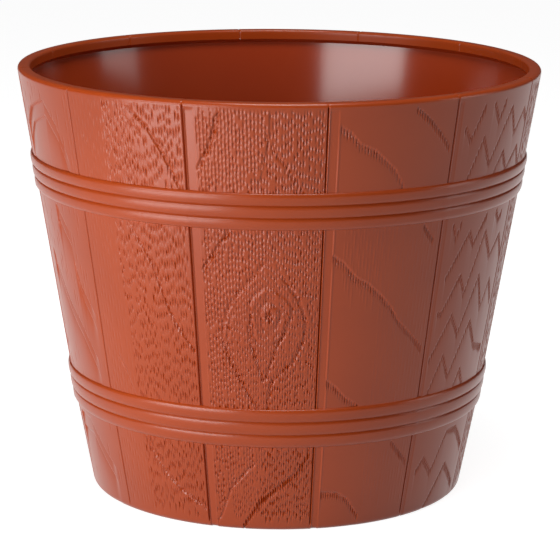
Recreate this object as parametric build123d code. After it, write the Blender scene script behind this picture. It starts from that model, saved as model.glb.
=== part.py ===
"""Floor flower pot, moulded in one piece to look like a coopered half barrel.

The pot is a single thin-walled moulding: twelve stave faces parted by V-grooves, two hoops of three
rounded ribs, a flat rim with a short strip-off lip inside it, and a raised floor on a foot ring with
crossing ribs under it. Six push-in plugs close the drain holes in the floor and lift out upwards.

Frame: origin on the ground at the centre of the foot ring, +Z up, -Y is the front of the photographed
side. Azimuths are measured from the front (-Y) towards +X. Sizes are in millimetres, angles in degrees.
"""

from build123d import *

import os
from math import cos, radians, sin, sqrt, tan

# overall form
height = 328.0
rim_radius = 200.0
wall_taper = 9.4  # lean of the staves above the taper break
foot_taper = 11.0  # steeper lean below it
taper_break_height = 80.0  # hidden behind the lower hoop

# wall and rim
wall_at_rim = 5.0
wall_at_floor = 4.2
rim_width = 10.0
lip_height = 7.5
lip_undercut_rise = 3.0  # slope under the lip, so that it strips off the core
rim_outer_bevel = 2.2

# floor, foot ring and what stiffens the floor from below
foot_height = 9.0
floor_thickness = 4.0
foot_ring_width = 6.5
foot_outer_bevel = 2.6
floor_rib_count = 6  # each runs right across, under the middle of the floor
floor_rib_thickness = 2.6
floor_rib_ground_gap = 2.5

# staves
stave_count = 12
seam_azimuth = 10.0  # the first seam, right of the front
seam_width = 2.2
seam_depth = 1.8
seam_rim_depth = 1.1
seam_foot_gap = 5.5  # the grooves stop this far above the ground
seam_hoop_gap = 0.6  # and this far from a hoop

# hoops, each of three rounded ribs
hoop_rib_count = 3
upper_hoop_bottom = 235.0
upper_rib_pitch = 9.2
lower_hoop_bottom = 67.5
lower_rib_pitch = 10.1
hoop_crest = 2.0  # crest of a rib above the stave face
hoop_valley = 0.6  # valley between two ribs above the stave face
rib_flank = 2.9  # height of a rib's sloping flank, above and below its crest

# drain holes and their plugs
drain_count = 6
drain_azimuth = 15.0
drain_wall_distance = 46.0  # from the foot of the wall to the centre of a hole
drain_hole_radius = 8.0
plug_clearance = 0.08
plug_flange_overlap = 4.0  # how far a flange reaches past the hole
plug_flange_thickness = 2.0
plug_stem_reach = 2.5  # how far a stem stands out below the floor
plug_rib_thickness = 2.4  # of the two crossed ribs that make a stem
plug_grip_length = 14.0
plug_grip_width = 2.6
plug_grip_height = 4.5
plug_grip_bevel = 2.0

overshoot = 2.0  # how far cutting tools stand past what they cut

floor_bottom = foot_height
floor_top = foot_height + floor_thickness
break_radius = rim_radius - (height - taper_break_height) * tan(radians(wall_taper))


def lean_at(z):
    """Lean of the stave faces at height z."""
    return wall_taper if z >= taper_break_height else foot_taper


def face_radius(z):
    """Radius of the plain stave face at height z."""
    return break_radius + (z - taper_break_height) * tan(radians(lean_at(z)))


def face_point(z, proud=0.0):
    """Radius and height of the point that stands proud of the stave face at height z, square to it."""
    lean = radians(lean_at(z))
    return face_radius(z) + proud * cos(lean), z - proud * sin(lean)


def radial(azimuth):
    """Unit vector from the axis outwards at an azimuth."""
    return Vector(0, -1, 0).rotate(Axis.Z, azimuth)


def turned(section):
    """A section drawn as radius and height, turned about the pot's axis."""
    return revolve(Plane.XZ * section, Axis.Z)


def corner_at(section, radius, z):
    """The corner of a section nearest to a point of the radius and height plane."""
    return section.vertices().sort_by_distance((radius, z, 0))[0]


def hoop_points(bottom, pitch):
    """Outline of one hoop from its bottom edge to its top edge, two shoulders and a valley to each rib."""
    top = bottom + hoop_rib_count * pitch
    points = [face_point(bottom)]
    for rib in range(hoop_rib_count):
        low = bottom + rib * pitch
        if rib:
            points.append(face_point(low, hoop_valley))
        points.append(face_point(low + rib_flank, hoop_crest))
        points.append(face_point(low + pitch - rib_flank, hoop_crest))
    return points + [face_point(top)]


def shell():
    """The moulding without its grooves and floor details: wall, hoops, rim, lip, floor and foot ring."""
    lip_radius = rim_radius - rim_width
    lip_bottom = height - lip_height
    wall_top = lip_bottom - lip_undercut_rise
    foot_inner_radius = face_radius(0) - foot_ring_width
    section = make_face(
        Polyline(
            (lip_radius, height),
            (lip_radius, lip_bottom),
            (face_radius(wall_top) - wall_at_rim, wall_top),
            (break_radius - wall_at_floor, taper_break_height),
            (face_radius(floor_top) - wall_at_floor, floor_top),
            (0, floor_top),
            (0, floor_bottom),
            (foot_inner_radius, floor_bottom),
            (foot_inner_radius, 0),
            face_point(0),
            *hoop_points(lower_hoop_bottom, lower_rib_pitch),
            *hoop_points(upper_hoop_bottom, upper_rib_pitch),
            (rim_radius, height),
            close=True,
        )
    )
    section = chamfer(corner_at(section, face_radius(0), 0), foot_outer_bevel)
    section = chamfer(corner_at(section, rim_radius, height), rim_outer_bevel)
    return turned(section)


def vee(depth):
    """V-groove outline: x runs out of the surface, y across the groove, and it stands past the surface."""
    mouth = seam_width / 2 * (depth + overshoot) / depth
    return make_face(Polyline((-depth, 0), (overshoot, -mouth), (overshoot, mouth), close=True))


def stave_spans():
    """Heights between which the staves show, clear of the hoops and parted at the taper break."""
    lower_hoop_top = lower_hoop_bottom + hoop_rib_count * lower_rib_pitch
    upper_hoop_top = upper_hoop_bottom + hoop_rib_count * upper_rib_pitch
    spans = (
        (seam_foot_gap, lower_hoop_bottom - seam_hoop_gap),
        (lower_hoop_top + seam_hoop_gap, upper_hoop_bottom - seam_hoop_gap),
        (upper_hoop_top + seam_hoop_gap, height + overshoot),
    )
    parted = []
    for low, high in spans:
        if low < taper_break_height < high:
            parted += [(low, taper_break_height), (taper_break_height, high)]
        else:
            parted.append((low, high))
    return parted


def face_run(outline, azimuth, low, high):
    """An outline swept straight up the stave face from one height to another."""
    lean = radians(lean_at(low))
    up = Vector(0, 0, 1)
    outwards = radial(azimuth) * cos(lean) - up * sin(lean)
    along = radial(azimuth) * sin(lean) + up * cos(lean)
    start = radial(azimuth) * face_radius(low) + up * low
    return extrude(Plane(origin=start, x_dir=outwards, z_dir=along) * outline, (high - low) / cos(lean))


def seam(azimuth):
    """Cutters for the groove between two staves, up the wall and across the rim."""
    up_wall = [face_run(vee(seam_depth), azimuth, *span) for span in stave_spans()]
    rim_start = radial(azimuth) * (rim_radius - rim_width - overshoot) + Vector(0, 0, height)
    rim_plane = Plane(origin=rim_start, x_dir=(0, 0, 1), z_dir=radial(azimuth))
    across_rim = extrude(rim_plane * vee(seam_rim_depth), rim_width + 2 * overshoot)
    return [*up_wall, across_rim]


def seams():
    step = 360 / stave_count
    return [run for stave in range(stave_count) for run in seam(seam_azimuth + stave * step)]


def floor_ribs():
    """Ribs that cross under the middle of the floor, clear of the ground and rooted in the foot ring."""
    reach = face_radius(0) - foot_ring_width / 2
    run = Plane.XY.offset(floor_rib_ground_gap) * Rectangle(2 * reach, floor_rib_thickness)
    rib = extrude(run, floor_bottom - floor_rib_ground_gap)
    return PolarLocations(0, floor_rib_count, angular_range=180) * rib


def drain_places():
    """The drain holes' axes, each turned so that a plug's grip lies along the circle of holes."""
    circle_radius = face_radius(floor_top) - wall_at_floor - drain_wall_distance
    azimuths = [drain_azimuth + hole * 360 / drain_count for hole in range(drain_count)]
    return [Rot(0, 0, azimuth) * Pos(0, -circle_radius, 0) for azimuth in azimuths]


def drain_hole():
    low = floor_bottom - overshoot
    return extrude(Plane.XY.offset(low) * Circle(drain_hole_radius), floor_top + overshoot - low)


def pot_body():
    """The whole moulding."""
    holes = [place * drain_hole() for place in drain_places()]
    return (shell() - seams()) + floor_ribs() - holes


def drain_plug():
    """One plug on the pot's axis: a round flange that seats on the floor, a stem of crossed ribs, a grip."""
    stem_bottom = floor_bottom - plug_stem_reach
    rib_reach = sqrt((drain_hole_radius - plug_clearance) ** 2 - (plug_rib_thickness / 2) ** 2)
    rib = Rectangle(2 * rib_reach, plug_rib_thickness)
    stem = extrude(Plane.XY.offset(stem_bottom) * (rib + Rot(0, 0, 90) * rib), floor_top - stem_bottom)
    flange = Circle(drain_hole_radius + plug_flange_overlap)
    plug = stem + extrude(Plane.XY.offset(floor_top) * flange, plug_flange_thickness)
    flange_top = Plane.XY.offset(floor_top + plug_flange_thickness)
    grip = extrude(flange_top * Rectangle(plug_grip_length, plug_grip_width), plug_grip_height)
    grip_ends = grip.edges().filter_by(Axis.Y).group_by(Axis.Z)[-1]
    return plug + chamfer(grip_ends, plug_grip_bevel)


def write(shape, name):
    export_step(shape, os.path.join("parts", name + ".step"))


os.makedirs("parts", exist_ok=True)
write(pot_body(), "pot_body")
for number, place in enumerate(drain_places(), start=1):
    write(place * drain_plug(), f"drain_plug_{number}")
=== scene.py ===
"""Looks of a floor flower pot moulded in terracotta plastic to imitate a coopered barrel.

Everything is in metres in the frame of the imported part: the ground is z = 0, the pot's axis is the Z axis
and the photographed front faces -Y. Azimuths are degrees from the front towards +X. Patterns on a stave
are placed in millimetres: x from the stave's left groove, measured at the middle of the pot's height, and z
from the ground.
"""

from math import cos, degrees, pi, radians, sin, tan

import bmesh
import bpy
import numpy as np
from mathutils import Matrix, Vector


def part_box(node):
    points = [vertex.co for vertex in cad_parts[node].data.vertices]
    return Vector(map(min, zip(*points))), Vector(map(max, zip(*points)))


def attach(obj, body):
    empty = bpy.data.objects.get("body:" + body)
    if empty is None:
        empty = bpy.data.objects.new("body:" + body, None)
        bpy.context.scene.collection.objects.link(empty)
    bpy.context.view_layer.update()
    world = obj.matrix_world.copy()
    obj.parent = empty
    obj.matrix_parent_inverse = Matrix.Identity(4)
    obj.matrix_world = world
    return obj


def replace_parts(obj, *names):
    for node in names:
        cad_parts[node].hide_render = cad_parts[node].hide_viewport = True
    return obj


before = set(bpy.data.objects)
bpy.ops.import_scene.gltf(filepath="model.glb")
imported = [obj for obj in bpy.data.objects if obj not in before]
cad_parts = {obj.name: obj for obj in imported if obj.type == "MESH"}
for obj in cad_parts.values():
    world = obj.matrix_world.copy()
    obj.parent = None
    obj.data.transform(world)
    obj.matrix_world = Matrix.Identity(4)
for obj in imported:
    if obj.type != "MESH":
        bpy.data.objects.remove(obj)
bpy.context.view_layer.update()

mm = 0.001

# form of the pot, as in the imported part, in millimetres
pot_low, pot_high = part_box("pot_body")
height = pot_high[2] / mm
rim_radius = 200.0
wall_taper = radians(9.4)
foot_taper = radians(11.0)
break_height = 80.0
wall_at_rim = 5.0
wall_at_floor = 4.2
rim_width = 10.0
lip_height = 7.5
lip_undercut_rise = 3.0
rim_outer_round = 3.0
rim_inner_round = 2.0
foot_round = 4.5
foot_ring_width = 6.5
floor_bottom = 9.0
floor_top = 13.0
floor_corner_round = 8.0
floor_rib_count = 6
floor_rib_thickness = 2.6
floor_rib_ground_gap = 2.5
hole_radius = 8.0
hole_circle_wall_distance = 46.0
plug_count = 6
plug_azimuth = 15.0

# staves and their grooves
stave_count = 12
first_stave_azimuth = -80.0  # of the left groove of stave 1
seam_half_width = 0.8
seam_depth = 1.6
seam_rim_depth = 0.35
skin_thickness = 3.0
column_pitch = 0.37
row_pitch = 1.0
hidden_row_pitch = 8.0  # behind a hoop
land_row_pitch = 0.8
lip_row_pitch = 2.0
foot_round_rows = 8
rim_round_rows = 10
lip_round_rows = 6
edge_columns = [0.0, 0.25, 0.5, 0.75, 0.95, 1.2, 1.5]  # closer together beside a groove
back_columns = 10
groove_foot_gap = 3.5  # the grooves start this far above the ground
groove_foot_ramp = 3.0
calm_edge = 0.9  # the relief starts this far from the middle of a groove
calm_ramp = 0.8
grain_rim_gap = 1.0  # and ends this far below the round of the rim
grain_rim_ramp = 2.5
rim_skin_clearance = 0.1  # past the rim a skin is this much thinner than the rim's inner round

# hoops
hoop_bottoms = {"lower_hoop": 67.5, "upper_hoop": 235.0}
hoop_pitches = {"lower_hoop": 10.1, "upper_hoop": 9.2}
hoop_rib_count = 3
hoop_crest = 2.0
hoop_valley = 0.6
hoop_root = 2.6
hoop_spin_steps = 360
rib_steps = 15
rib_fullness = 2.3  # powers of a rib's rounded outline
rib_roundness = 0.62
parting_line_count = 6
parting_line_azimuth = -20.0
parting_half_angle = 0.13
parting_crest_angle = 0.04
parting_rise = 0.22
parting_reach = 3  # degrees of a hoop that are cut for one parting line

# core behind the staves
core_clearance = 2.3  # the core's outside stands this far inside the stave faces
core_spin_steps = 240
core_wall_rows = 12
core_corner_rows = 9
core_foot_bevel = 1.5
core_ring_bevel = 0.8
drill_segments = 64

# drain plugs
plug_flange_radius = 12.0
plug_flange_thickness = 2.0
plug_flange_round = 0.5
plug_flange_segments = 96
plug_grip_length = 14.0
plug_grip_width = 2.6
plug_grip_top = 6.5  # above the floor
plug_grip_round = 0.9
plug_stem_radius = 7.92
plug_stem_thickness = 2.4
plug_stem_reach = 2.5  # below the floor
plug_stem_round = 0.5
round_segments = 4

# strokes of the wood relief have a steep left wall and a slow right one
stroke_lean = 0.55
stroke_tail_ramp = 1.6
line_end_ramp = 8

# real sizes of the plastic's patterns, in millimetres
pigment_cloud = 1000 / 14  # broad faint drift of the colour
mould_texture = 1 / 1.2  # the real texture is well under 0.1 mm and is drawn coarser, so that it shows
mould_texture_height = 0.1

# studio
floor_half_side = 6.0
paper_grey = "#a8a8a8"
backdrop_glow = 0.92
surround_grey = "#e6e6ea"
surround_strength = 0.08

# camera, from the photograph's perspective, which is taken as 560 pixels square
photo_side = 560
camera_focal_px = 2709.3
camera_distance = 2056.2
camera_height = 624.8
camera_pitch = radians(12.801)
camera_yaw = radians(0.047)
camera_roll = radians(0.438)
sensor_width = 36.0

break_radius = rim_radius - (height - break_height) * tan(wall_taper)


def face_radius(z):
    """Radius of the plain stave face at height z."""
    lean = np.where(np.asarray(z) >= break_height, tan(wall_taper), tan(foot_taper))
    return break_radius + (z - break_height) * lean


def radial(azimuth):
    """Unit vector from the axis outwards at an azimuth in degrees."""
    return Vector((sin(radians(azimuth)), -cos(radians(azimuth)), 0.0))


def arc(centre, radius, start, end, count):
    """Points and outward normals on an arc of the radius and height plane, angles in degrees."""
    angles = np.radians(np.linspace(start, end, count))
    normals = np.stack([np.cos(angles), np.sin(angles)], -1)
    return np.asarray(centre) + radius * normals, normals


def run(start, end, normal, pitch):
    """Evenly spaced points on a straight run, without its two ends, and their normals."""
    length = float(np.hypot(*(np.asarray(end) - start)))
    count = max(int(round(length / pitch)) - 1, 1)
    share = np.linspace(0, 1, count + 2)[1:-1, None]
    return np.asarray(start) * (1 - share) + np.asarray(end) * share, np.tile(normal, (count, 1))


def mesh_piece(name, bm, body, material, smooth_angle=radians(40)):
    """Makes a bmesh drawn in millimetres a finished piece in metres, closed and facing outwards."""
    bmesh.ops.scale(bm, vec=(mm, mm, mm), verts=bm.verts)
    mesh = bpy.data.meshes.new(name)
    bm.to_mesh(mesh)
    bm.free()
    mesh.shade_smooth()
    mesh.set_sharp_from_angle(angle=smooth_angle)
    piece = bpy.data.objects.new(name, mesh)
    bpy.context.scene.collection.objects.link(piece)
    mesh.materials.append(material)
    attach(piece, body)
    return piece


def loose_object(name, bm):
    """A working object in millimetres, which is removed once it has served."""
    mesh = bpy.data.meshes.new(name)
    bm.to_mesh(mesh)
    bm.free()
    made = bpy.data.objects.new(name, mesh)
    bpy.context.scene.collection.objects.link(made)
    return made


def skin_rows():
    """Rows of a stave from the ground up the wall, over the rim and down the lip: places and normals.

    The third value is the height that the grain is read at. It runs on past the rim along the land.
    """
    wall_normal = np.array([cos(wall_taper), -sin(wall_taper)])
    foot_normal = np.array([cos(foot_taper), -sin(foot_taper)])

    def on_face(z):
        return np.array([float(face_radius(z)), z])

    foot_z = foot_round * (1 - sin(foot_taper))
    rim_z = height - rim_outer_round - rim_outer_round * sin(wall_taper)
    foot_centre = on_face(foot_z) - foot_round * foot_normal
    rim_centre = on_face(rim_z) - rim_outer_round * wall_normal
    lip_radius = rim_radius - rim_width
    inner_centre = (lip_radius + rim_inner_round, height - rim_inner_round)
    hoop_tops = {k: hoop_bottoms[k] + hoop_rib_count * hoop_pitches[k] for k in hoop_bottoms}
    lower, upper = hoop_bottoms["lower_hoop"], hoop_bottoms["upper_hoop"]
    stretches = [
        arc(foot_centre, foot_round, -90, -degrees(foot_taper), foot_round_rows),
        run(on_face(foot_z), on_face(lower), foot_normal, row_pitch),
        run(on_face(lower), on_face(break_height), foot_normal, hidden_row_pitch),
        (on_face(break_height)[None], (foot_normal + wall_normal)[None] / 2),
        run(on_face(break_height), on_face(hoop_tops["lower_hoop"]), wall_normal, hidden_row_pitch),
        run(on_face(hoop_tops["lower_hoop"]), on_face(upper), wall_normal, row_pitch),
        run(on_face(upper), on_face(hoop_tops["upper_hoop"]), wall_normal, hidden_row_pitch),
        run(on_face(hoop_tops["upper_hoop"]), on_face(rim_z), wall_normal, row_pitch),
        arc(rim_centre, rim_outer_round, -degrees(wall_taper), 90, rim_round_rows),
        run((rim_centre[0], height), (inner_centre[0], height), (0.0, 1.0), land_row_pitch),
        arc(inner_centre, rim_inner_round, 90, 180, lip_round_rows),
        run((lip_radius, inner_centre[1]), (lip_radius, height - lip_height), (-1.0, 0.0), lip_row_pitch),
        (np.array([[lip_radius, height - lip_height]]), np.array([[-1.0, 0.0]])),
    ]
    places = np.concatenate([s[0] for s in stretches])
    normals = np.concatenate([s[1] for s in stretches])
    steps = np.hypot(*np.diff(places, axis=0).T)
    reading = np.where(places[:, 1] < rim_z, places[:, 1], 0.0)
    first_past = int(np.argmax(places[:, 1] >= rim_z))
    for row in range(first_past, len(places)):
        reading[row] = reading[row - 1] + steps[row - 1]
    return places, normals, reading


drain_circle_radius = float(face_radius(floor_top)) - wall_at_floor - hole_circle_wall_distance
rows, row_normals, row_reading = skin_rows()
stave_width = 2 * pi / stave_count * float(face_radius(height / 2))
middle_count = int((stave_width - 2 * edge_columns[-1]) / column_pitch)
columns = np.concatenate(
    [
        edge_columns,
        np.linspace(edge_columns[-1], stave_width - edge_columns[-1], middle_count + 1)[1:-1],
        stave_width - np.array(edge_columns[::-1]),
    ]
)
grid_x, grid_z = np.meshgrid(columns, row_reading)


def smooth(t):
    """Eased step from 0 to 1."""
    t = np.clip(t, 0.0, 1.0)
    return t * t * (3 - 2 * t)


class Grain:
    """How deep the wood relief of one stave is cut, in millimetres, at every point of the stave's grid."""

    def __init__(self, seed):
        self.random = np.random.default_rng(seed)
        self.cut = np.zeros_like(grid_x)

    def window(self, x_low, x_high, z_low, z_high):
        """The grid rows and columns that a mark can reach."""
        rows_in = slice(*np.searchsorted(row_reading, [z_low, z_high]))
        return rows_in, slice(*np.searchsorted(columns, [x_low, x_high]))

    def dash(self, x, top, length, half_width, depth, top_ramp=6.0):
        """One upright chisel-like stroke, deepest near its top and fading downwards."""
        area = self.window(x - half_width, x + half_width, top - length, top + half_width)
        px, pz = grid_x[area], grid_z[area]
        if px.size == 0:
            return
        down = (top - pz) / length
        across = (px - x) / half_width
        profile = (
            np.clip(1 - across**2, 0, 1)
            * (1 - stroke_lean * across)
            * smooth((down + half_width / length) * top_ramp)
            * smooth((1 - down) * stroke_tail_ramp)
        )
        self.cut[area] = np.maximum(self.cut[area], depth * profile)

    def ridge_dash(self, x, top, length, half_width, rise):
        """One raised sliver of grain."""
        area = self.window(x - half_width, x + half_width, top - length, top)
        px, pz = grid_x[area], grid_z[area]
        if px.size == 0:
            return
        across = np.clip(1 - ((px - x) / half_width) ** 2, 0, 1)
        along = np.sin(pi * np.clip((top - pz) / length, 0, 1))
        self.cut[area] -= rise * across * along

    def line(self, points, half_width, depth):
        """A groove along a polyline, or a ridge if depth is negative. It thins out towards both ends."""
        points = np.asarray(points, float)
        lengths = np.hypot(*np.diff(points, axis=0).T)
        total, done = lengths.sum(), 0.0
        low, high = points.min(0) - half_width, points.max(0) + half_width
        whole = self.window(low[0], high[0], low[1], high[1])
        wide_x, wide_z = grid_x[whole], grid_z[whole]
        if wide_x.size == 0:
            return
        mark = np.zeros_like(wide_x)
        for (xa, za), (xb, zb), length in zip(points, points[1:], lengths):
            share = np.clip(((wide_x - xa) * (xb - xa) + (wide_z - za) * (zb - za)) / length**2, 0, 1)
            away = np.hypot(wide_x - xa - share * (xb - xa), wide_z - za - share * (zb - za))
            along = (done + share * length) / total
            strength = smooth(along * line_end_ramp) * smooth((1 - along) * line_end_ramp)
            mark = np.maximum(mark, strength * np.clip(1 - (away / half_width) ** 2, 0, 1))
            done += length
        self.cut[whole] += depth * mark

    def comb(self, points, length, depth, pitch=1.9, half_width=0.75, fade=0.0):
        """Strokes that hang below a curve like the teeth of a comb. fade shortens them to the right."""
        points = np.asarray(points, float)
        span = points[-1, 0] - points[0, 0]
        x = points[0, 0]
        while x < points[-1, 0]:
            top = np.interp(x, points[:, 0], points[:, 1])
            share = (x - points[0, 0]) / span
            reach = length * self.random.uniform(0.88, 1.1) * (1 - fade * share)
            self.dash(x, top, reach, half_width, depth * self.random.uniform(0.75, 1.0))
            x += pitch * self.random.uniform(0.92, 1.08)

    def hatch(self, points, length, depth, pitch=2.3, half_width=0.65, lean=28.0):
        """Short strokes laid along a steep curve like the turns of a rope, each at an angle to the curve."""
        points = np.asarray(points, float)
        steps = np.diff(points, axis=0)
        reached = np.concatenate([[0], np.cumsum(np.hypot(*steps.T))])
        for at in np.arange(0.5, reached[-1], pitch):
            part = min(int(np.searchsorted(reached, at)), len(steps)) - 1
            centre = [np.interp(at, reached, points[:, axis]) for axis in (0, 1)]
            turn = np.arctan2(steps[part][1], steps[part][0]) + radians(lean)
            half = length / 2 * self.random.uniform(0.8, 1.2)
            reach = np.array([cos(turn), sin(turn)]) * half
            self.line([centre - reach, centre + reach], half_width, depth)

    def shelf(self, points, drop, fall, upright=False, side=1):
        """A step along a curve: the surface drops by the edge and comes back up over the fall."""
        points = np.asarray(points, float)
        if upright:
            order = np.argsort(points[:, 1])
            away = side * (grid_x - np.interp(grid_z, points[order, 1], points[order, 0]))
            ends = points[order, 1][[0, -1]]
            inside = smooth((grid_z - ends[0]) / 6) * smooth((ends[1] - grid_z) / 6)
        else:
            away = side * (np.interp(grid_x, points[:, 0], points[:, 1]) - grid_z)
            inside = smooth((grid_x - points[0, 0]) / 2 + 1) * smooth((points[-1, 0] - grid_x) / 8)
        self.cut += drop * inside * np.where(away > 0, smooth(away / 0.7) * np.exp(-away / fall), 0)

    def pores(
        self, x_low, x_high, z_low, z_high, depth, pitch=1.9, lengths=(3.0, 8.0), half_width=0.5, keep=None
    ):
        """Rows of broken upright pores, as ring-porous oak shows. keep(x, z) gives the share that stays."""
        for x in np.arange(x_low, x_high, pitch):
            z = z_low + self.random.uniform(0, lengths[1])
            while z < z_high:
                length = self.random.uniform(*lengths)
                at = x + self.random.uniform(-0.12, 0.12) * pitch
                share = 1.0 if keep is None else keep(at, z)
                if self.random.uniform() < share:
                    strength = self.random.uniform(0.6, 1.0)
                    self.dash(at, z + length, length, half_width, depth * strength, 3.0)
                z += length + self.random.uniform(0.4, 1.6)

    def slivers(self, x_low, x_high, z_low, z_high, rise, pitch=2.9, lengths=(3.5, 6.0), keep=None):
        """Rows of raised slivers, lighter than the ground because they catch the light."""
        for x in np.arange(x_low, x_high, pitch):
            z = z_low + self.random.uniform(0, lengths[1])
            while z < z_high:
                length = self.random.uniform(*lengths)
                at = x + self.random.uniform(-0.2, 0.2) * pitch
                if keep is None or self.random.uniform() < keep(at, z):
                    self.ridge_dash(at, z + length, length, 0.75, rise * self.random.uniform(0.6, 1.0))
                z += length + self.random.uniform(1.0, 2.2)

    def knot(self, x, z, half_width, half_height):
        """A knot: an oval rim, year rings on a raised boss, and star cracks in its heart."""
        area = self.window(x - 2 * half_width, x + 2 * half_width, z - 2 * half_height, z + 2 * half_height)
        dx, dz = grid_x[area] - x, (grid_z[area] - z) * half_width / half_height
        angle = np.arctan2(dz, dx)
        wobble = 1 + 0.06 * np.sin(3 * angle + 1.0) + 0.05 * np.sin(5 * angle)
        away = np.hypot(dx, dz) / wobble
        rings = 0.12 * np.cos(2 * pi * away / 2.4) * smooth((half_width * 0.95 - away) / 2)
        heart = -0.5 * smooth((half_width * 0.5 - away) / 1.4)
        moat = 0.45 * np.exp(-(((away - half_width * 0.58) / 1.1) ** 2))
        rim = -0.5 * np.exp(-(((away - half_width) / 1.0) ** 2))
        outer = 0.45 * np.exp(-(((away - half_width - 2.2) / 0.9) ** 2))
        self.cut[area] += rings + heart + moat + rim + outer
        for crack in range(7):
            turn = 2 * pi * crack / 7 + 0.4
            tip = half_width * (0.4 if crack % 2 else 0.3)
            self.line([(x - 1, z), (x - 1 + tip * cos(turn), z + tip * sin(turn) * 1.2)], 0.7, 0.9)

    def clear_margin(self, width, depth):
        """A plain strip beside the left groove that leans down towards the groove."""
        strip = smooth((width - grid_x) / 0.35 + 0.5)
        lean = 0.3 * depth + 0.7 * depth * (1 - np.clip(grid_x / width, 0, 1))
        self.cut = self.cut * (1 - strip) + lean * strip


def between(low, high):
    """Keeps marks between two curves of x over height, each given from the top down."""
    low, high = (np.asarray(curve, float)[::-1] for curve in (low, high))

    def keep(x, z):
        inside = np.interp(z, low[:, 1], low[:, 0]) < x < np.interp(z, high[:, 1], high[:, 0])
        return 0.92 if inside else 0.0

    return keep


def knotted_stave(grain):
    """Front stave: a long diamond of year rings round a knot, in three fields of pores."""
    left_side = [
        (56, 216), (51, 210), (38, 193), (27, 180), (22, 165), (20, 153), (25, 135), (32, 120), (46, 97),
    ]
    right_side = [
        (56, 216), (65, 198), (75, 183), (81, 165), (80, 153), (72, 135), (57, 120), (54, 110), (53, 97),
    ]
    boundary = [(54, 326), (54, 310), (53, 300), (50, 280), (45, 262), (50, 235), (54, 222)]
    stave_edge = [(9, 326), (9, 0)]
    far_edge = [(90, 326), (90, 0)]
    left_edge = boundary + left_side[1:] + [(44, 64), (41, 53), (30, 40), (22, 33), (11, 8)]
    right_edge = boundary + right_side[1:] + [(52, 64), (48, 40), (45, 23), (32, 5)]
    left_field = between(stave_edge, left_edge)
    middle_field = between(left_edge, right_edge)
    right_field = between(right_edge, far_edge)
    grain.pores(9, 60, 4, 326, 1.0, pitch=2.3, half_width=0.9, lengths=(2.5, 5.0), keep=left_field)
    grain.pores(24, 82, 4, 230, 0.75, pitch=1.9, half_width=0.75, lengths=(3.0, 6.0), keep=middle_field)
    grain.pores(44, 90, 4, 326, 1.0, pitch=1.9, half_width=0.78, lengths=(4.0, 8.0), keep=right_field)
    grain.shelf(boundary[:5], 0.7, 9.0, upright=True, side=1)
    grain.comb([(54, 301), (64, 286), (78, 262)], 6.0, 1.3)
    grain.hatch([(22, 319), (20, 307), (16, 295), (8, 278)], 6.0, 1.2, lean=-30)
    grain.hatch([(28, 234), (19, 220), (8, 203)], 6.0, 1.2, lean=-30)
    grain.hatch(left_side[1:], 5.0, 0.7, lean=-40)
    grain.hatch([(x + 3.5, z - 2) for x, z in left_side[3:8]], 4.0, 0.5, lean=-40)
    grain.hatch(right_side[1:], 5.0, 0.7, lean=40)
    grain.line(left_side, 0.7, 0.2)
    grain.line(right_side, 0.7, 0.2)
    grain.knot(55.0, 170.0, 12.5, 19.0)
    inner_left = [(42, 172), (40, 160), (41, 148), (46, 132), (50, 120)]
    inner_right = [(68, 172), (65, 158), (60, 146), (55, 132), (51, 120)]
    grain.hatch(inner_left, 4.5, 0.8, lean=-35)
    grain.hatch(inner_right, 4.5, 0.8, lean=35)
    grain.comb([(32, 5), (45, 23), (60, 35), (78, 48), (87, 64)], 6.5, 1.5, pitch=2.0, half_width=0.85)
    grain.hatch([(41, 53), (30, 42), (22, 33), (11, 8)], 4.5, 0.9, lean=-30)
    grain.clear_margin(7.4, 0.9)


def combed_stave(grain):
    """Nearly smooth stave crossed by curves that carry strokes like the teeth of a comb."""
    grain.slivers(15, 45, 168, 233, 0.22, pitch=2.4, lengths=(12, 24))
    grain.slivers(45, 88, 8, 230, 0.14, pitch=3.0, lengths=(10, 22))
    combs = [
        [(9, 311), (15, 307), (22, 298), (32, 293), (40, 285), (47, 278), (56, 262)],
        [(8, 216), (15, 211), (25, 199), (35, 193), (45, 184), (55, 173), (62, 162), (75, 150), (86, 139)],
        [(8, 120), (15, 115), (22, 107), (37, 97)],
        [(9, 31), (22, 30), (32, 24), (45, 8)],
    ]
    for curve in combs:
        grain.shelf(curve, 0.9, 7.0)
        grain.comb(curve, 10.0, 1.3, pitch=2.0, half_width=0.66, fade=0.3)
    short_combs = [[(59, 322), (69, 313), (78, 303), (88, 290)], [(75, 233), (85, 220)], [(69, 66), (88, 47)]]
    for curve in short_combs:
        grain.comb(curve, 6.5, 1.1, pitch=2.0, half_width=0.66)
        grain.line(curve, 0.9, 0.5)
    grain.line([(7.6, 326), (7.6, 2)], 0.8, -0.3)
    grain.clear_margin(7.0, 0.8)


def pored_stave(grain):
    """Stave with long upright pores on its right and a smooth left third, crossed by falling lines."""
    dense = between([(30, 326), (34, 0)], [(90, 326), (90, 0)])
    sparse = between([(4, 326), (4, 0)], [(34, 326), (34, 0)])
    grain.pores(30, 90, 4, 326, 0.8, pitch=2.0, half_width=0.64, lengths=(6.0, 12.0), keep=dense)
    grain.pores(5, 36, 4, 322, 0.22, pitch=3.1, half_width=0.8, lengths=(6, 14), keep=sparse)
    falling = [
        [(51, 320), (64, 308), (75, 288), (86, 262)],
        [(44, 233), (59, 205), (69, 173), (78, 155), (90, 138)],
        [(37, 65), (42, 53), (54, 38), (65, 28), (82, 19), (90, 13)],
    ]
    for curve in falling:
        grain.line(curve, 0.9, 0.6)
        grain.hatch(curve, 4.5, 0.7, lean=30)
    grain.line([(47, 315), (61, 299)], 1.0, 0.5)
    grain.line([(15, 130), (22, 118), (30, 97)], 0.9, 0.5)
    grain.line([(9, 294), (15, 287)], 0.9, -0.2)


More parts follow.
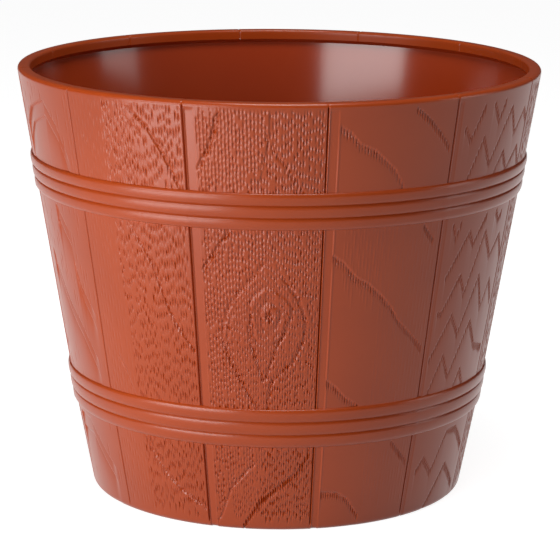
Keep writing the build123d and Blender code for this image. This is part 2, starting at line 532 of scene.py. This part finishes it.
def flamed_stave(grain):
    """Stave with stacked zig-zag flames, each a band of short upright strokes below a crest."""
    flames = [
        [(10, 303), (16, 294), (26, 318)],
        [(37, 318), (44, 305), (50, 320)],
        [(17, 262), (30, 294), (40, 273), (60, 313), (70, 292), (82, 308), (90, 300)],
        [(47, 262), (57, 280), (66, 265), (80, 280), (88, 268)],
        [(12, 230), (16, 220), (20, 233)],
        [(12, 191), (31, 223), (37, 212), (50, 233)],
        [(65, 233), (70, 225), (75, 232)],
        [(9, 163), (12, 162), (28, 190), (36, 174), (52, 220), (66, 198), (78, 213), (90, 195)],
        [(7, 128), (25, 159), (36, 143), (54, 185), (66, 158), (75, 178), (86, 160)],
        [(9, 98), (22, 128), (32, 110), (52, 150), (67, 128), (86, 123)],
        [(42, 97), (49, 113), (59, 97)],
        [(12, 38), (19, 47), (32, 33), (47, 63), (62, 63), (86, 43)],
        [(32, 5), (55, 35), (82, 13)],
    ]
    for curve in flames:
        grain.shelf(curve, 0.45, 9.0)
        grain.comb(curve, 8.0, 1.0, pitch=1.8, half_width=0.6)
    grain.clear_margin(4.5, 0.6)


def leafed_stave(grain):
    """Stave of broad smooth leaf-shaped facets, each stepped down from the next."""
    leaves = [
        [(15, 290), (30, 304), (55, 313), (70, 296), (82, 268)],
        [(50, 233), (64, 215), (66, 190), (71, 173), (85, 153)],
        [(22, 193), (45, 158), (60, 143), (80, 115)],
        [(15, 63), (42, 63), (60, 45), (78, 30)],
    ]
    for curve in leaves:
        grain.shelf(curve, 1.4, 12.0)
        grain.shelf([(x, z - 12) for x, z in curve], 1.0, 10.0)
    grain.pores(6, 88, 4, 322, 0.2, pitch=3.4, half_width=0.8, lengths=(10, 20), keep=lambda x, z: 0.35)
    grain.clear_margin(5.0, 0.5)


def plain_sawn_stave(grain):
    """Stave with upright pores all over and two cathedral arches."""
    grain.pores(5, 89, 4, 326, 0.7, pitch=1.9, half_width=0.66, lengths=(4, 9), keep=lambda x, z: 0.8)
    for rise in (0, 95):
        for step in range(3):
            arch = [
                (26 + 5 * step, 90 + rise),
                (34 + 3 * step, 140 + rise),
                (46, 168 + rise - 16 * step),
                (58 - 3 * step, 140 + rise),
                (66 - 5 * step, 90 + rise),
            ]
            grain.line(arch, 0.8, 0.5)
            grain.hatch(arch, 4.5, 0.8)
    grain.clear_margin(6.0, 0.6)


# staves 6 to 12 are unseen: 6 is made to go with the others, and 7 to 12 repeat 1 to 6
stave_patterns = [leafed_stave, pored_stave, knotted_stave, combed_stave, flamed_stave, plain_sawn_stave] * 2


def add_stave(number, left_azimuth, pattern, material):
    """One moulded stave: its grained face, rim land and lip face, closed behind by a plain back."""
    grain = Grain(number)
    pattern(grain)
    bm = bmesh.new()
    across, up = len(columns) + back_columns, len(rows) - 1
    bmesh.ops.create_grid(bm, x_segments=across, y_segments=up, size=1.0)
    bm.verts.ensure_lookup_table()
    flat = np.array([v.co[:2] for v in bm.verts])
    column = np.rint((flat[:, 0] + 1) / 2 * across).astype(int)
    row = np.rint((flat[:, 1] + 1) / 2 * up).astype(int)

    past_rim = row_reading > height - rim_outer_round
    groove_depth = np.where(past_rim, seam_rim_depth, seam_depth)[:, None]
    groove_depth = groove_depth * smooth((row_reading[:, None] - groove_foot_gap) / groove_foot_ramp)
    from_seam = np.minimum(columns, stave_width - columns)[None, :]
    groove = np.clip(1 - from_seam / seam_half_width, 0, 1)
    calm = smooth((from_seam - calm_edge) / calm_ramp)
    grain_top = height - rim_outer_round - grain_rim_gap
    below_rim = smooth((grain_top - row_reading[:, None]) / grain_rim_ramp)
    cut = grain.cut * calm * below_rim + groove_depth * groove
    skin = np.where(past_rim, rim_inner_round - rim_skin_clearance, skin_thickness)[:, None]
    back_x = np.linspace(columns[-1], columns[0], back_columns)
    all_x = np.concatenate([columns, back_x, columns[:1]])
    all_cut = np.concatenate([cut, np.repeat(skin, back_columns, axis=1), cut[:, :1]], axis=1)

    places = rows[row] - row_normals[row] * all_cut[row, column][:, None]
    angle = np.radians(left_azimuth + all_x[column] / stave_width * 360 / stave_count)
    placed = np.stack([places[:, 0] * np.sin(angle), -places[:, 0] * np.cos(angle), places[:, 1]], -1)
    for vert, co in zip(bm.verts, placed):
        vert.co = co
    bmesh.ops.remove_doubles(bm, verts=bm.verts, dist=0.001)
    bmesh.ops.holes_fill(bm, edges=[e for e in bm.edges if e.is_boundary])
    bmesh.ops.recalc_face_normals(bm, faces=bm.faces)
    return mesh_piece(f"stave_{number:02d}", bm, "pot", material, radians(50))


def spun(profile, steps, closed=True):
    """A bmesh of a radius and height outline spun round the pot's axis, starting at the front."""
    bm = bmesh.new()
    verts = [bm.verts.new((0.0, -r, z)) for r, z in profile]
    pairs = list(zip(verts, verts[1:])) + ([(verts[-1], verts[0])] if closed else [])
    edges = [bm.edges.new(pair) for pair in pairs]
    bmesh.ops.spin(
        bm, geom=verts + edges, cent=(0, 0, 0), axis=(0, 0, 1), dvec=(0, 0, 0), angle=2 * pi, steps=steps,
        use_merge=True, use_duplicate=False,
    )
    bmesh.ops.remove_doubles(bm, verts=bm.verts, dist=0.001)
    bmesh.ops.recalc_face_normals(bm, faces=bm.faces)
    return bm


def proud_point(z, proud):
    """Radius and height of the point that stands proud of the stave face at height z."""
    lean = wall_taper if z >= break_height else foot_taper
    return float(face_radius(z)) + proud * cos(lean), z - proud * sin(lean)


def add_hoop(name, material):
    """One moulded hoop of three rounded ribs, with faint parting lines where the mould's jaws met."""
    bottom, pitch = hoop_bottoms[name], hoop_pitches[name]
    outline = [proud_point(bottom, -hoop_root)]
    for rib in range(hoop_rib_count):
        for step in range(rib_steps + (rib == hoop_rib_count - 1)):
            across = 2 * step / rib_steps - 1
            outer = (rib == 0 and across < 0) or (rib == hoop_rib_count - 1 and across > 0)
            low = 0.0 if outer else hoop_valley
            proud = low + (hoop_crest - low) * (1 - abs(across) ** rib_fullness) ** rib_roundness
            outline.append(proud_point(bottom + (rib + step / rib_steps) * pitch, proud))
    outline.append(proud_point(bottom + hoop_rib_count * pitch, -hoop_root))
    bm = spun(outline, hoop_spin_steps)
    for line in range(parting_line_count):
        azimuth = parting_line_azimuth + line * 360 / parting_line_count
        ridge = radial(azimuth)
        for offset in (-parting_half_angle, 0.0, parting_half_angle):
            side = radial(azimuth + offset + 90)
            near = [f for f in bm.faces if f.calc_center_median().angle(ridge) < radians(parting_reach)]
            parts = set(near)
            for f in near:
                parts.update(f.edges)
                parts.update(f.verts)
            bmesh.ops.bisect_plane(bm, geom=list(parts), plane_co=(0, 0, 0), plane_no=side)
        for vert in bm.verts:
            flat = Vector((vert.co.x, vert.co.y, 0))
            if flat.angle(ridge) < radians(parting_crest_angle):
                vert.co += ridge * parting_rise
    return mesh_piece(name, bm, "pot", material)


def add_core(material):
    """What lies behind the staves: the wall's smooth inside, the lip's undercut, floor and foot ring."""
    lip_radius, lip_bottom = rim_radius - rim_width, height - lip_height
    wall_top = lip_bottom - lip_undercut_rise
    wall_top_radius = float(face_radius(wall_top)) - wall_at_rim
    foot_inside = float(face_radius(0)) - foot_ring_width
    break_inside = break_radius - wall_at_floor
    floor_wall = float(face_radius(floor_top)) - wall_at_floor
    corner_centre = (
        floor_wall + floor_corner_round * tan(foot_taper) - floor_corner_round / cos(foot_taper),
        floor_top + floor_corner_round,
    )
    corner, _ = arc(corner_centre, floor_corner_round, -degrees(foot_taper), -90, core_corner_rows)
    foot_start = foot_inside + foot_ring_width - foot_round
    outline = [
        (0.0, floor_bottom),
        (foot_inside - core_foot_bevel, floor_bottom),
        (foot_inside - 0.44, floor_bottom - 0.44),
        (foot_inside, floor_bottom - core_foot_bevel),
        (foot_inside, core_ring_bevel),
        (foot_inside + 0.23, 0.23),
        (foot_inside + core_ring_bevel, 0.0),
        (foot_start + 0.1, 0.0),
        # from here to the rim land the outline is hidden inside the staves
        (foot_start + 0.5, 1.2),
        proud_point(8.0, -core_clearance),
        proud_point(break_height, -core_clearance),
        proud_point(height - 6, -core_clearance),
        (rim_radius - 3.6, height - 1.5),
        (lip_radius + 1.5, height - 1.5),
        (lip_radius + 1.2, lip_bottom + 1.5),
        (lip_radius + 0.03, lip_bottom + 0.02),
        (wall_top_radius, wall_top),
        *[
            (
                break_inside + (wall_top_radius - break_inside) * share,
                break_height + (wall_top - break_height) * share,
            )
            for share in np.linspace(1, 0, core_wall_rows)[1:]
        ],
        *[tuple(p) for p in corner],
        (0.0, floor_top),
    ]
    whole = loose_object("undrilled_core", spun(outline, core_spin_steps, closed=False))
    bm = bmesh.new()
    for number in range(plug_count):
        place = radial(plug_azimuth + number * 360 / plug_count) * drain_circle_radius
        place.z = (floor_bottom + floor_top) / 2
        bmesh.ops.create_cone(
            bm, cap_ends=True, segments=drill_segments, radius1=hole_radius, radius2=hole_radius,
            depth=2 * (floor_top - floor_bottom), matrix=Matrix.Translation(place),
        )
    drill = loose_object("drain_hole_drill", bm)
    cut = whole.modifiers.new("drain_holes", "BOOLEAN")
    cut.operation, cut.solver, cut.object = "DIFFERENCE", "EXACT", drill
    drilled = bpy.data.meshes.new_from_object(whole.evaluated_get(bpy.context.evaluated_depsgraph_get()))
    bm = bmesh.new()
    bm.from_mesh(drilled)
    for spent in (whole, drill):
        bpy.data.objects.remove(spent)
    return mesh_piece("inner_wall_and_floor", bm, "pot", material)


def add_floor_ribs(material):
    """Straight ribs that cross under the floor."""
    bm = bmesh.new()
    reach = float(face_radius(0)) - foot_ring_width / 2 - 0.6
    rise = floor_bottom + 1.0 - floor_rib_ground_gap
    for rib in range(floor_rib_count):
        made = bmesh.ops.create_cube(bm, size=1.0)["verts"]
        bmesh.ops.scale(bm, vec=(2 * reach, floor_rib_thickness, rise), verts=made)
        bmesh.ops.translate(bm, vec=(0, 0, floor_rib_ground_gap + rise / 2), verts=made)
        turn = Matrix.Rotation(pi * rib / floor_rib_count, 3, "Z")
        bmesh.ops.rotate(bm, cent=(0, 0, 0), matrix=turn, verts=made)
    return mesh_piece("floor_ribs", bm, "pot", material)


def add_plug(number, material):
    """One push-in drain plug: round flange, crossed stem below it and a thumb grip on top."""
    bm = bmesh.new()

    def block(x, y, low, high, rounding):
        made = bmesh.ops.create_cube(bm, size=1.0)["verts"]
        bmesh.ops.scale(bm, vec=(x, y, high - low), verts=made)
        bmesh.ops.translate(bm, vec=(0, 0, (low + high) / 2), verts=made)
        edges = list({e for v in made for e in v.link_edges})
        bmesh.ops.bevel(
            bm, geom=edges, offset=rounding, offset_type="OFFSET", segments=round_segments, profile=0.5,
            affect="EDGES", material=-1,
        )

    flange_middle = floor_top + plug_flange_thickness / 2
    made = bmesh.ops.create_cone(
        bm, cap_ends=True, segments=plug_flange_segments, radius1=plug_flange_radius,
        radius2=plug_flange_radius, depth=plug_flange_thickness,
        matrix=Matrix.Translation((0, 0, flange_middle)),
    )["verts"]
    edges = {e for v in made for e in v.link_edges}
    rims = [e for e in edges if abs(e.verts[0].co.z - e.verts[1].co.z) < 0.01]
    bmesh.ops.bevel(
        bm, geom=rims, offset=plug_flange_round, offset_type="OFFSET", segments=round_segments, profile=0.5,
        affect="EDGES", material=-1,
    )
    block(plug_grip_length, plug_grip_width, flange_middle, floor_top + plug_grip_top, plug_grip_round)
    stem_length = 2 * (plug_stem_radius**2 - (plug_stem_thickness / 2) ** 2) ** 0.5
    stem_bottom = floor_bottom - plug_stem_reach
    block(stem_length, plug_stem_thickness, stem_bottom, flange_middle, plug_stem_round)
    block(plug_stem_thickness, stem_length, stem_bottom, flange_middle, plug_stem_round)
    azimuth = plug_azimuth + (number - 1) * 360 / plug_count
    bmesh.ops.rotate(bm, cent=(0, 0, 0), matrix=Matrix.Rotation(radians(azimuth), 3, "Z"), verts=bm.verts)
    bmesh.ops.translate(bm, vec=radial(azimuth) * drain_circle_radius, verts=bm.verts)
    bmesh.ops.recalc_face_normals(bm, faces=bm.faces)
    return mesh_piece(f"moulded_plug_{number}", bm, f"plug_{number}", material)


def linear(hex_colour):
    """An sRGB hex colour as linear RGBA."""
    channels = [int(hex_colour[i : i + 2], 16) / 255 for i in (1, 3, 5)]
    return [c / 12.92 if c <= 0.04045 else ((c + 0.055) / 1.055) ** 2.4 for c in channels] + [1.0]


def node(tree, kind, links=None, **settings):
    """Adds a node, sets its sockets and properties, and links sockets from other nodes' outputs."""
    made = tree.nodes.new(kind)
    for key, value in settings.items():
        if key.startswith("in_"):
            made.inputs[key[3:].replace("_", " ")].default_value = value
        else:
            setattr(made, key, value)
    for socket, source in (links or {}).items():
        tree.links.new(source, made.inputs[socket])
    return made


def moulded_plastic(name, pale, dark, roughness, relief, index):
    """Injection-moulded plastic, coloured right through.

    The eye gets an even colour that drifts faintly over a hand's width, and a soft gloss that the texture
    of the mould breaks up a little.
    """
    material = bpy.data.materials.new(name)
    material.use_nodes = True
    tree = material.node_tree
    tree.nodes.clear()
    place = node(tree, "ShaderNodeTexCoord").outputs["Object"]
    cloud = node(
        tree, "ShaderNodeTexNoise", {"Vector": place}, in_Scale=1 / (pigment_cloud * mm), in_Detail=3.0
    )
    tint = node(tree, "ShaderNodeValToRGB", {"Fac": cloud.outputs["Fac"]})
    tint.color_ramp.elements[0].position, tint.color_ramp.elements[1].position = 0.35, 0.65
    tint.color_ramp.elements[0].color, tint.color_ramp.elements[1].color = linear(dark), linear(pale)
    texture = node(
        tree, "ShaderNodeTexNoise", {"Vector": place}, in_Scale=1 / (mould_texture * mm), in_Detail=2.0
    )
    bump = node(
        tree, "ShaderNodeBump", {"Height": texture.outputs["Fac"]}, in_Strength=relief,
        in_Distance=mould_texture_height * mm,
    )
    shader = node(
        tree, "ShaderNodeBsdfPrincipled",
        {"Base Color": tint.outputs["Color"], "Normal": bump.outputs["Normal"]},
        in_Roughness=roughness, in_IOR=index,
    )
    node(tree, "ShaderNodeOutputMaterial", {"Surface": shader.outputs["BSDF"]})
    return material


def plain_surround():
    """A dim grey room round the lamps."""
    world = bpy.data.worlds.new("studio")
    bpy.context.scene.world = world
    world.use_nodes = True
    tree = world.node_tree
    tree.nodes.clear()
    surround = node(
        tree, "ShaderNodeBackground", in_Color=linear(surround_grey), in_Strength=surround_strength
    )
    node(tree, "ShaderNodeOutputWorld", {"Surface": surround.outputs[0]})


def softbox(name, place, target, width, tall, power):
    """A rectangular soft light that faces the target."""
    light = bpy.data.lights.new(name, "AREA")
    light.shape, light.size, light.size_y, light.energy = "RECTANGLE", width, tall, power
    lamp = bpy.data.objects.new(name, light)
    bpy.context.scene.collection.objects.link(lamp)
    lamp.location = place
    lamp.rotation_euler = (Vector(target) - Vector(place)).to_track_quat("-Z", "Y").to_euler()
    return lamp


def add_floor():
    """The plain studio floor. It looks white to the camera and in reflections, and still takes the shadow."""
    bm = bmesh.new()
    bmesh.ops.create_grid(bm, x_segments=1, y_segments=1, size=floor_half_side)
    mesh = bpy.data.meshes.new("studio_floor")
    bm.to_mesh(mesh)
    bm.free()
    floor = bpy.data.objects.new("studio_floor", mesh)
    bpy.context.scene.collection.objects.link(floor)
    material = bpy.data.materials.new("white_paper")
    material.use_nodes = True
    tree = material.node_tree
    tree.nodes.clear()
    paper = node(tree, "ShaderNodeBsdfDiffuse", in_Color=linear(paper_grey))
    rays = node(tree, "ShaderNodeLightPath").outputs
    straight = {0: rays["Is Camera Ray"], 1: rays["Is Glossy Ray"]}
    seen = node(tree, "ShaderNodeMath", straight, operation="MAXIMUM")
    through = {0: seen.outputs[0], 1: rays["Is Transmission Ray"]}
    seen = node(tree, "ShaderNodeMath", through, operation="MAXIMUM")
    strength = node(tree, "ShaderNodeMath", {0: seen.outputs[0]}, operation="MULTIPLY")
    strength.inputs[1].default_value = backdrop_glow
    glow = node(tree, "ShaderNodeEmission", {"Strength": strength.outputs[0]}, in_Color=(1, 1, 1, 1))
    both = node(tree, "ShaderNodeAddShader", {0: paper.outputs[0], 1: glow.outputs[0]})
    node(tree, "ShaderNodeOutputMaterial", {"Surface": both.outputs[0]})
    mesh.materials.append(material)
    return floor


def add_camera():
    """The camera of the photograph: its place, tilt and long lens."""
    forwards = Vector(
        (sin(camera_yaw) * cos(camera_pitch), cos(camera_yaw) * cos(camera_pitch), -sin(camera_pitch))
    )
    level = Vector((cos(camera_yaw), -sin(camera_yaw), 0))
    upright = level.cross(forwards)
    right = level * cos(camera_roll) + upright * sin(camera_roll)
    up = -level * sin(camera_roll) + upright * cos(camera_roll)
    data = bpy.data.cameras.new("photo_camera")
    data.sensor_width = sensor_width
    data.lens = camera_focal_px * sensor_width / photo_side
    data.clip_end = 20.0
    camera = bpy.data.objects.new("photo_camera", data)
    bpy.context.scene.collection.objects.link(camera)
    turn = Matrix((right, up, -forwards)).transposed()
    camera.matrix_world = Matrix.Translation((0, -camera_distance * mm, camera_height * mm)) @ turn.to_4x4()
    bpy.context.scene.camera = camera


# Polypropylene off a spark-textured mould: a warm orange-brown with a broad satin sheen. Its IOR is a
# little under the usual 1.49, to match the photograph.
wall_skin = moulded_plastic("terracotta_polypropylene_satin", "#ab4315", "#a53f12", 0.29, 0.12, 1.43)
# The same plastic off a polished core: glossier, so that it shows the lamps as soft-edged patches. Its
# IOR is a little over the usual one, to match the photograph.
inner_skin = moulded_plastic("terracotta_polypropylene_polished", "#a53c19", "#a03816", 0.17, 0.05, 1.55)
# Low-density polyethylene, softer and waxier: a dull brown with hardly a highlight.
plug_skin = moulded_plastic("brown_polyethylene_satin", "#8a3b22", "#84371f", 0.4, 0.15, 1.49)

for n, pattern in enumerate(stave_patterns):
    add_stave(n + 1, first_stave_azimuth + n * 360 / stave_count, pattern, wall_skin)
for name in hoop_bottoms:
    add_hoop(name, wall_skin)
core = add_core(inner_skin)
add_floor_ribs(inner_skin)
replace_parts(core, "pot_body")
for number in range(1, plug_count + 1):
    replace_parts(add_plug(number, plug_skin), f"drain_plug_{number}")

# places and sizes of the lamps are in metres, power in watts
add_floor()
plain_surround()
middle = (0.0, 0.0, 0.16)
softbox("softbox_left", place=(-1.5, -1.6, 0.65), target=middle, width=1.7, tall=0.6, power=20.5)
softbox("softbox_right", place=(2.1, -0.15, 0.6), target=middle, width=0.8, tall=1.1, power=6)
softbox("softbox_above", place=(0.0, -0.5, 1.9), target=middle, width=0.8, tall=0.6, power=20)
low_middle = (0.0, 0.0, 0.14)
softbox("card_on_the_table", place=(-0.5, -0.52, 0.03), target=low_middle, width=0.5, tall=0.4, power=3.6)
add_camera()
bpy.context.scene.view_settings.view_transform = "Standard"
